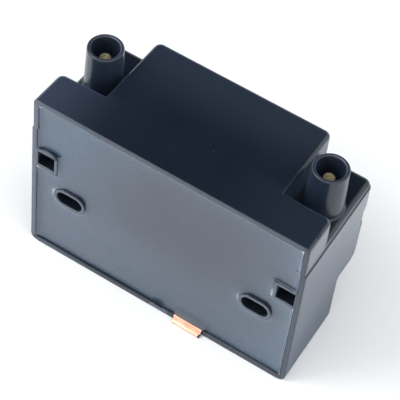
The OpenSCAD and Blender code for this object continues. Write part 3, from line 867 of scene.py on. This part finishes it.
# How far the resin stands above its level at a point of the back plane
def resin_rise(x, z):
    half = inner_half(z)
    slot_x = math.copysign(SLOT_X, x)
    beside_slot = x - min(max(x, slot_x - SLEEVE_STRAIGHT), slot_x + SLEEVE_STRAIGHT)
    pocket_edge = math.copysign(POCKET_X, x)
    beside_pocket = min(x - pocket_edge, 0) if x > 0 else max(x - pocket_edge, 0)
    above_pocket = z - min(max(z, POCKET_LOW), POCKET_HIGH)
    on_strip = 0.95 / (1 + math.exp(6 * (abs(x - STRIP_X) - STRIP_W / 2 - 0.2)))
    low_stretch = 0.75 * math.exp(-((x + 38) / 6) ** 2)
    total = climb(x + half, 0.45, 0.18) + climb(half - x, 0.95, 0.15)
    total += on_strip * fade(max(z - WALL - STRIP_T, 0), 0.22)
    total += climb(z - WALL, 0.12, 0.2) + climb(INNER_TOP - z, 1.0 - low_stretch, 0.12)
    total += climb(to_sleeve(x, z), 1.1 * lean(beside_slot, z - SLOT_Z), 0.22)
    total += climb(to_pocket(x, z), lean(beside_pocket, above_pocket), 0.15)
    sway = 1 + 0.3 * low_noise(x, z, 9, 3.1)
    waves = 0.05 * low_noise(x, z, 30, 7.7) + 0.03 * low_noise(x, z, 11, 1.3)
    dish = -0.12 * (1 - (x / half) ** 2)
    return min(total * sway, HIGHEST_CLIMB) + waves * (1 - min(total, 1)) + dish


# Painted light and shade of the resin, 1 to 2 on a painted highlight: darker in the middle, painted shade
# above sleeves, pockets and strip
def resin_painted_light_and_tone(x, z):
    from_right = inner_half(z) - x
    from_left = inner_half(z) + x
    from_top = INNER_TOP - z
    # painted_shade_share darkens the resin as painted shade beside the strip and above sleeves and pockets;
    # glow lightens it as painted light
    painted_shade_share = 1.3 * fade(max(to_strip(x, z), 0), 0.45)
    painted_highlights = painted_highlight_line(from_top, 0.65) + 0.45 * painted_highlight_line(from_right, 0.15) + 0.3 * painted_highlight_line(from_left, 0.2)
    glow = 0.7 * fade(from_right, 2.8) + 0.5 * fade(from_top, 1.8) - 0.5 * fade(from_left, 2.2)
    for distance, middle_x, middle_z, paleness in ((to_sleeve(x, z), SLOT_X, SLOT_Z, 2.4),
                                                   (to_pocket(x, z), POCKET_MIDDLE_X, POCKET_MIDDLE_Z, 0.8)):
        away = max(distance, 0)
        lower = 2 * lean(x - math.copysign(middle_x, x), z - middle_z) - 1
        painted_highlights += paleness * max(lower, 0) * painted_highlight_line(away, 0.35)
        glow += 0.8 * max(lower, 0) * fade(away, 1.8)
        painted_shade_share += max(-lower, 0) * (fade(away, 0.5) + 0.5 * fade(away, 2.2))
    # Painted light: lighter to the left and low on the right, darker in the middle; the low noise is random
    # tone
    to_left = (0.5 - 0.5 * math.tanh((x + 22) / 14)) * (0.35 + 0.65 * min(max((z - 10) / 45, 0), 1.3))
    painted_light_and_tone = 0.56 + 0.5 * to_left - 0.45 * hill(x, z, (6, 44), (30, 22)) + 0.2 * hill(x, z, (34, 8), (22, 16))
    painted_light_and_tone += glow - 0.8 * min(painted_shade_share, 1) + 0.12 * low_noise(x, z, 18, 5.5)
    return min(max(painted_light_and_tone, 0), 1) + min(painted_highlights + 0.15 * max(glow, 0), 1)


# Rows of points beside whatever the resin wets: distance from it, and space between the points
RESIN_ROWS = ((0.14, 0.45), (0.32, 0.5), (0.56, 0.6), (0.9, 0.7), (1.35, 0.8), (1.95, 1.0), (2.8, 1.2))
# Space of the coarse grid elsewhere, and its distance from the walls
GRID_SPACE = 1.5
GRID_CLEARANCE = 3.2


def row_candidates(gap, space):
    points = []
    across = int(2 * HALF_W / space)
    up = int(BLOCK_Z / space)
    for i in range(across + 1):
        x = -HALF_W + i * 2 * HALF_W / across
        points += [(x, WALL + gap), (x, INNER_TOP - gap)]
    for i in range(up + 1):
        z = i * BLOCK_Z / up
        edge = inner_half(z) - gap
        points += [(-edge, z), (edge, z)]
    radius = SLEEVE_W / 2 + gap
    round_steps = max(int(2 * math.pi * radius / space), 12)
    for side in (-1, 1):
        for i in range(round_steps):
            angle = 2 * math.pi * i / round_steps
            end = side * SLOT_X + (SLEEVE_STRAIGHT if math.cos(angle) > 0 else -SLEEVE_STRAIGHT)
            points.append((end + radius * math.cos(angle), SLOT_Z + radius * math.sin(angle)))
        for i in range(int(2 * SLEEVE_STRAIGHT / space) + 1):
            x = side * SLOT_X - SLEEVE_STRAIGHT + i * space
            points += [(x, SLOT_Z - radius), (x, SLOT_Z + radius)]
        for i in range(int((POCKET_HIGH - POCKET_LOW) / space) + 1):
            points.append((side * (POCKET_X - gap), POCKET_LOW + i * space))
        for i in range(int((HALF_W - POCKET_X) / space) + 1):
            x = side * (POCKET_X + i * space)
            points += [(x, POCKET_LOW - gap), (x, POCKET_HIGH + gap)]
    return points


# Points of the resin's face: close rows beside whatever it wets, a coarser grid elsewhere
def face_points():
    kept = {}
    cell = 0.5

    def keep(x, z, space):
        reach = int(space / cell) + 1
        i = math.floor(x / cell)
        j = math.floor(z / cell)
        for a in range(i - reach, i + reach + 1):
            for b in range(j - reach, j + reach + 1):
                if any(math.hypot(x - p, z - q) < space for p, q in kept.get((a, b), ())):
                    return
        kept.setdefault((i, j), []).append((x, z))

    for gap, space in RESIN_ROWS:
        for x, z in row_candidates(gap, space):
            if clearance(x, z) > 0.9 * gap:
                keep(x, z, 0.7 * min(space, 2.2 * gap))
    for i in range(int(2 * HALF_W / GRID_SPACE)):
        for j in range(int(BLOCK_Z / GRID_SPACE)):
            x = -HALF_W + (i + 0.5 + 0.25 * (j % 2)) * GRID_SPACE
            z = (j + 0.5) * GRID_SPACE
            if clearance(x, z) > GRID_CLEARANCE:
                keep(x, z, 0.8 * GRID_SPACE)
    return [point for points in kept.values() for point in points]


# The resin's flat back face is taken off, and the rim that it leaves is cut into short lengths
def open_back(work, level):
    flat = [f for f in work.faces if all(abs(v.co.y - level) < 2e-6 for v in f.verts)]
    bmesh.ops.delete(work, geom=flat, context="FACES_ONLY")
    loose = [e for e in work.edges if not e.link_faces]
    bmesh.ops.delete(work, geom=loose, context="EDGES")
    longest = 0.6 * MM
    by_cuts = {}
    for edge in work.edges:
        if len(edge.link_faces) == 1:
            cuts = int(edge.calc_length() / longest)
            if cuts:
                by_cuts.setdefault(cuts, []).append(edge)
    for cuts, edges in by_cuts.items():
        bmesh.ops.bisect_edges(work, edges=edges, cuts=cuts)
    return [e for e in work.edges if len(e.link_faces) == 1]


# The resin: its back face is laid again as a fine surface that climbs whatever it wets
def resin_piece(material):
    work = merged("potting_compound")
    painted_light_and_tone = work.verts.layers.float.new("painted_light_and_tone")
    level = (RIM_Y + RESIN_DROP) * MM
    rim = open_back(work, level)
    verts = list({v for e in rim for v in e.verts})
    order = {v: i for i, v in enumerate(verts)}
    points = [Vector((v.co.x / MM, v.co.z / MM)) for v in verts]
    points += [Vector(p) for p in face_points()]
    lines = [(order[e.verts[0]], order[e.verts[1]]) for e in rim]
    places, _, triangles, sources, _, _ = delaunay_2d_cdt(points, lines, [], 0, 1e-5)
    made = []
    for place, source in zip(places, sources):
        known = [i for i in source if i < len(verts)]
        made.append(verts[known[0]] if known else work.verts.new((place.x * MM, level, place.y * MM)))
    for triangle in triangles:
        middle = sum((places[i] for i in triangle), Vector((0, 0))) / 3
        corners = [made[i] for i in triangle]
        if clearance(middle.x, middle.y) > 0 and len(set(corners)) == 3:
            work.faces.new(corners)
    for vert in set(made):
        x = vert.co.x / MM
        z = vert.co.z / MM
        vert[painted_light_and_tone] = resin_painted_light_and_tone(x, z)
        vert.co.y -= resin_rise(x, z) * MM
    loose = [v for v in work.verts if not v.link_faces]
    bmesh.ops.delete(work, geom=loose, context="VERTS")
    piece = new_piece("casting_resin", work, material)
    smooth_by_height(piece)
    return piece


# The back face is shaded from the slope of its height, so the triangles it is laid in don't show
def smooth_by_height(piece):
    mesh = piece.data
    step = 0.05
    normals = []
    for polygon in mesh.polygons:
        for corner in polygon.loop_indices:
            spot = mesh.vertices[mesh.loops[corner].vertex_index].co
            x = spot.x / MM
            z = spot.z / MM
            facing = polygon.normal
            if polygon.normal.y < -0.15 and spot.y / MM < RIM_Y + RESIN_DROP + 0.3:
                across = (resin_rise(x + step, z) - resin_rise(x - step, z)) / (2 * step)
                up = (resin_rise(x, z + step) - resin_rise(x, z - step)) / (2 * step)
                facing = Vector((-across, -1, -up)).normalized()
            normals.append(facing)
    mesh.normals_split_custom_set(normals)


# Wire wound round an axis, as one tree with named sizes
def coil_tree():
    tree = bpy.data.node_groups.new("wound wire", "GeometryNodeTree")
    tree.interface.new_socket("Geometry", in_out="OUTPUT", socket_type="NodeSocketGeometry")
    kinds = {"Turns": NUMBER, "Radius": NUMBER, "Length": NUMBER, "Wire Radius": NUMBER, "Place": VECTOR,
             "Tilt": NUMBER, "Material": "NodeSocketMaterial"}
    sizes = {label: tree.interface.new_socket(label, in_out="INPUT", socket_type=kind).identifier
             for label, kind in kinds.items()}
    given = add(tree, "NodeGroupInput").outputs
    spiral = wired(tree, "GeometryNodeCurveSpiral", Resolution=40, Rotations=given["Turns"],
                   Start_Radius=given["Radius"], End_Radius=given["Radius"], Height=given["Length"])
    profile = wired(tree, "GeometryNodeCurvePrimitiveCircle", Resolution=8, Radius=given["Wire Radius"])
    sweep = wired(tree, "GeometryNodeCurveToMesh", Curve=spiral.outputs["Curve"],
                  Profile_Curve=profile.outputs["Curve"], Fill_Caps=True)
    smooth = wired(tree, "GeometryNodeSetShadeSmooth", Geometry=sweep.outputs["Mesh"])
    turn = wired(tree, "ShaderNodeCombineXYZ", Y=given["Tilt"])
    placed = wired(tree, "GeometryNodeTransform", Geometry=smooth.outputs["Geometry"],
                   Translation=given["Place"], Rotation=turn.outputs["Vector"])
    real = wired(tree, "GeometryNodeRealizeInstances", Geometry=placed.outputs["Geometry"])
    coat = wired(tree, "GeometryNodeSetMaterial", Geometry=real.outputs["Geometry"],
                 Material=given["Material"])
    wired(tree, "NodeGroupOutput", Geometry=coat.outputs["Geometry"])
    return tree, sizes


# A winding along X (axis 0) or Z (axis 2): the solid drawn in by half a wire, under a layer of round turns
def wound_piece(name, node_name, axis, wire_r, material, coil):
    low, high = (Vector(corner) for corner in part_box(node_name))
    middle = (low + high) / 2
    radius = (high - low)[2 - axis] / 2
    run = (high - low)[axis] - 2 * wire_r
    drawn_in = Vector([(radius - wire_r) / radius] * 3)
    drawn_in[axis] = 1
    work = merged(node_name)
    join_flat_faces(work)
    for vert in work.verts:
        vert.co = middle + (vert.co - middle) * drawn_in
    piece = new_piece(name, work, material)
    start = middle.copy()
    start[axis] = low[axis] + wire_r
    helper = new_object("helper", bpy.data.meshes.new("helper"))
    layer = helper.modifiers.new("layer", "NODES")
    layer.node_group, sizes = coil
    for label, value in (("Turns", run / (2 * wire_r)), ("Radius", radius - wire_r), ("Length", run),
                         ("Wire Radius", wire_r), ("Place", start), ("Tilt", 0.0 if axis else math.pi / 2),
                         ("Material", material)):
        layer[sizes[label]] = value
    join_to(piece, applied(helper))
    bpy.data.objects.remove(helper)
    return piece


def kept_shape(node_name, width, material):
    work = merged(node_name)
    join_flat_faces(work)
    piece = new_piece(node_name + "_finished", work, material)
    break_edges(piece, width, 2)
    attach(piece, node_name)


# The round along the block's top edges, drawn larger: each row of it moves inwards and down
def soften_top(work):
    rows = 4
    grow = SOFT_TOP_R - TOP_R
    moves = []
    for step in range(rows + 1):
        angle = math.pi / 2 * step / rows
        height = BLOCK_Z - TOP_R * (1 - math.sin(angle))
        for vert in work.verts:
            from_tower = math.hypot(abs(vert.co.x / MM) - TOWER_X, vert.co.y / MM - RIM_Y - TOWER_Y)
            if abs(vert.co.z / MM - height) > 0.005 or from_tower < TOWER_FOOT_R + 1:
                continue
            outward = Vector((0, 0, 0))
            for face in vert.link_faces:
                if abs(face.normal.z) < 0.999 and face.normal.y > -0.99:
                    outward += Vector((face.normal.x, face.normal.y, 0)).normalized()
            if outward.length > 0.1:
                move = outward.normalized() * -grow * (1 - math.cos(angle))
                if vert.co.y / MM < RIM_Y + 0.01:
                    move.y = 0
                move.z = -grow * (1 - math.sin(angle))
                moves.append((vert, move))
    for vert, move in moves:
        vert.co += move * MM


# Arched swelling over the left pocket's wall, from the rim into the resin: its first rows draw in a little
def pocket_arch():
    outline = [(-46.1, 46.0), (-46.0, 46.4), (-45.2, 46.75), (-44.3, 47.05), (-43.3, 47.25), (-42.1, 47.35),
               (-41.0, 47.25), (-40.0, 46.95), (-39.3, 46.5), (-38.95, 46.0), (-38.9, 45.4)]
    work = bmesh.new()
    rows = []
    for depth, inset in ((0.0, 0.1), (0.06, 0.03), (0.16, 0.0), (2.6, 0.0)):
        narrower = 1 - 0.1 * inset
        shift = 0.42 * inset
        rows.append([work.verts.new(at(x * narrower - shift, depth, z - inset)) for x, z in outline])
    for near, far in zip(rows, rows[1:]):
        bridge(work, near, far)
    work.faces.new(rows[0])
    work.faces.new(rows[-1])
    bmesh.ops.recalc_face_normals(work, faces=work.faces)
    return work


# Tub, with the swelling over its left pocket and the lip of resin on its bottom rim
def tub_piece(material):
    work = merged("housing_tub")
    join_flat_faces(work)
    tub = new_piece("moulded_tub", work, material)
    break_edges(tub, HOUSING_EDGE, kept=(LEDGE_Z - 0.1, LEDGE_Z + 0.5))
    for extra in (pocket_arch(), lump(at(LIP_X, 0.1, 1.6), (2.3, 0.5, 0.7))):
        join_to(tub, smooth_mesh("extra", extra))
    return tub


# Cover, with a ring at each tower's foot and the moulding mark on the block's end
def cover_piece(material):
    work = merged("top_cover")
    for vert in work.verts:
        if SEAM_Z < vert.co.z / MM < SEAM_Z + 0.15:
            vert.co.z = SEAM_Z * MM
    bmesh.ops.remove_doubles(work, verts=work.verts, dist=0.02 * MM)
    soften_top(work)
    join_flat_faces(work)
    cover = new_piece("moulded_cover", work, material)
    break_edges(cover, HOUSING_EDGE, kept=(SEAM_Z - 0.05, SEAM_Z + 0.35))
    section = [(TOWER_FOOT_R + out, height) for out, height in (
        (-0.5, -0.2), (0.55, -0.2), (0.5, 0.05), (0.25, 0.15), (0.05, 0.35), (-0.03, 0.6), (-0.5, 0.6))]
    feet = [turned(section, at(side * TOWER_X, TOWER_Y, PLATE_Z)) for side in (-1, 1)]
    for extra in feet + [lump(at(47.4, 6.5, 68.2), (0.5, 0.9, 0.6))]:
        join_to(cover, smooth_mesh("extra", extra))
    return cover


# Copper strip: leg under the bottom, slanting face over the rim with a crease, inner leg
def strip_slices():
    slices = []
    count = 26
    under = STRIP_T / 2
    over = WALL + STRIP_T / 2
    for i in range(count + 1):
        share = i / count
        foot = -1.6 - 0.16 * share + 0.05 * math.sin(9 * share)
        crease = -0.85 - 0.1 * share + 0.05 * math.sin(14 * share + 1)
        path = [(5.0, under), (2.5, under), (0.6, under), (foot + 0.45, under), (foot + 0.12, under + 0.06),
                (foot, under + 0.22), (foot + 0.06, under + 0.42), (crease - 0.03, 0.98), (crease, 1.06),
                (crease + 0.05, 1.14), (-0.3, 2.1), (-0.22, 2.32), (-0.06, 2.45), (0.12, 2.47), (0.45, 2.4),
                (1.4, over), (4.0, over), (7.5, over), (7.8, over + 0.3), (7.85, over + 1.2), (7.85, 4.99)]
        slices.append((STRIP_LEFT + STRIP_W * share, path))
    return slices


def strip_piece(material):
    strip = new_piece("folded_copper_strip", band(strip_slices(), STRIP_T), material)
    break_edges(strip, STRIP_EDGE, 2)
    return strip


def lay_floor():
    mesh = bpy.data.meshes.new("floor")
    corners = [(x * FLOOR_HALF, y * FLOOR_HALF, 0) for x, y in ((-1, -1), (1, -1), (1, 1), (-1, 1))]
    mesh.from_pydata(corners, [], [(0, 1, 2, 3)])
    mesh.materials.append(table_top())
    new_object("floor", mesh)


# Sky: bright all round, dark high up behind
def make_sky():
    world = bpy.data.worlds.new("studio")
    bpy.context.scene.world = world
    world.use_nodes = True
    tree = world.node_tree
    product = add(tree, "ShaderNodeVectorMath", operation="DOT_PRODUCT")
    feed(tree, product.inputs[0], position(tree, "Generated"))
    feed(tree, product.inputs[1], Vector(MIRRORED_WAY).normalized())
    strength = spread(tree, product.outputs["Value"], 0.6, 0.995, SKY_STRENGTH, 0.02 * SKY_STRENGTH)
    fill(tree, tree.nodes["Background"], Color=SKY_COLOUR, Strength=strength)


place_camera()
bpy.context.scene.view_settings.view_transform = "Standard"

dull_brass = worked_metal("dull brass", (0.42, 0.36, 0.24), (0.55, 0.48, 0.31), 0.5, 0.12, lines=1500.0,
                          depth=0.01, mottle=900.0)
inlet_plastic = moulded("black inlet plastic", (0.014, 0.015, 0.017), (0.02, 0.021, 0.024), 0.42, 0.06,
                        grain=3000.0)
tinned_brass = worked_metal("tinned brass", (0.66, 0.63, 0.56), (0.74, 0.72, 0.66), 0.28, 0.08, lines=1200.0,
                            squeeze=(1, 0.1, 1))
board_material = laminate()
yellow_case = moulded("yellow capacitor case", (0.72, 0.5, 0.07), (0.8, 0.58, 0.1), 0.25, 0.04)
red_case = moulded("red capacitor case", (0.45, 0.06, 0.035), (0.54, 0.085, 0.05), 0.2, 0.04)
ferrite = moulded("sintered ferrite", (0.045, 0.045, 0.05), (0.075, 0.075, 0.08), 0.55, 0.08, grain=1500.0,
                  depth=0.012, specks=((0.16, 0.16, 0.17), 700.0, 0.2, 0.18))
enamelled_wire = worked_metal("enamelled wire", (0.5, 0.19, 0.07), (0.66, 0.28, 0.11), 0.25, 0.05,
                              lines=700.0)
fine_turns = fine_winding()
sink_aluminium = worked_metal("rolled aluminium", (0.7, 0.71, 0.72), (0.78, 0.79, 0.8), 0.34, 0.1,
                              lines=900.0, squeeze=(1, 0.06, 1))
black_epoxy = moulded("black epoxy", (0.018, 0.018, 0.019), (0.028, 0.028, 0.029), 0.5, 0.06, grain=3500.0,
                      depth=0.008)
zinc_steel = worked_metal("zinc plated steel", (0.56, 0.56, 0.54), (0.66, 0.66, 0.63), 0.32)
card = moulded("pressboard", (0.5, 0.38, 0.22), (0.64, 0.5, 0.31), 0.8, grain=1800.0, depth=0.02)
former_nylon = moulded("green nylon", (0.06, 0.19, 0.13), (0.085, 0.24, 0.17), 0.38)
silicone = moulded("silicone insulation", (0.42, 0.05, 0.03), (0.52, 0.07, 0.045), 0.45, 0.06, grain=2200.0)
black_diode = banded("diode body and leads", (0.02, 0.02, 0.022), (0.6, 0.6, 0.6), (2.5, 7.7), 6.6)
blue_diac = banded("diac body and leads", (0.08, 0.17, 0.42), (0.05, 0.05, 0.06), (-9.4, -5.4), -8.4)
tan_resistor = moulded("lacquered resistor", (0.55, 0.4, 0.22), (0.64, 0.49, 0.28), 0.35)

# Nodes that keep their own shape: material, width of the broken edge, names
KEPT_SHAPES = (
    (inlet_plastic, 0.35, ["mains_inlet"]),
    (tinned_brass, 0.12, ["live_blade", "neutral_blade", "earth_blade"]),
    (board_material, 0.15, ["circuit_board"]),
    (yellow_case, 0.6, ["suppression_capacitor"]),
    (red_case, 0.9, ["drive_capacitor"]),
    (ferrite, 0.3, ["choke_core"]),
    (sink_aluminium, 0.3, ["heat_sink"]),
    (black_epoxy, 0.2, ["switching_transistor"]),
    (zinc_steel, 0.4, ["transistor_screw"]),
    (black_diode, 0.3, ["rectifier_diodes"]),
    (tan_resistor, 0.4, ["resistors"]),
    (blue_diac, 0.3, ["trigger_diac"]),
    (ferrite, 0.6, ["ferrite_core_left", "ferrite_core_right"]),
    (card, 0.03, ["core_gap_shims"]),
    (former_nylon, 0.2, ["secondary_former"]),
    (fine_turns, 0.3, ["secondary_winding_left", "secondary_winding_right"]),
    (former_nylon, 0.2, ["primary_former"]),
    (silicone, 0.05, ["primary_leads", "hv_lead_left", "hv_lead_right"]),
    (dull_brass, 0.15, ["hv_terminal_left", "hv_terminal_right"]))

for material, width, names in KEPT_SHAPES:
    for node_name in names:
        kept_shape(node_name, width, material)

wound_wire = coil_tree()
for name, node_name, axis, wire_r in (("choke_turns", "choke_winding", 2, 0.35 * MM),
                                      ("primary_turns", "primary_winding", 0, 0.3 * MM)):
    attach(wound_piece(name, node_name, axis, wire_r, enamelled_wire, wound_wire), node_name)

housing_plastic = housing()
attach(tub_piece(housing_plastic), "housing_tub")
attach(cover_piece(housing_plastic), "top_cover")
attach(resin_piece(poured_resin()), "potting_compound")
attach(strip_piece(strip_metal()), "earth_strip")

lay_floor()
make_sky()
place_key_light()
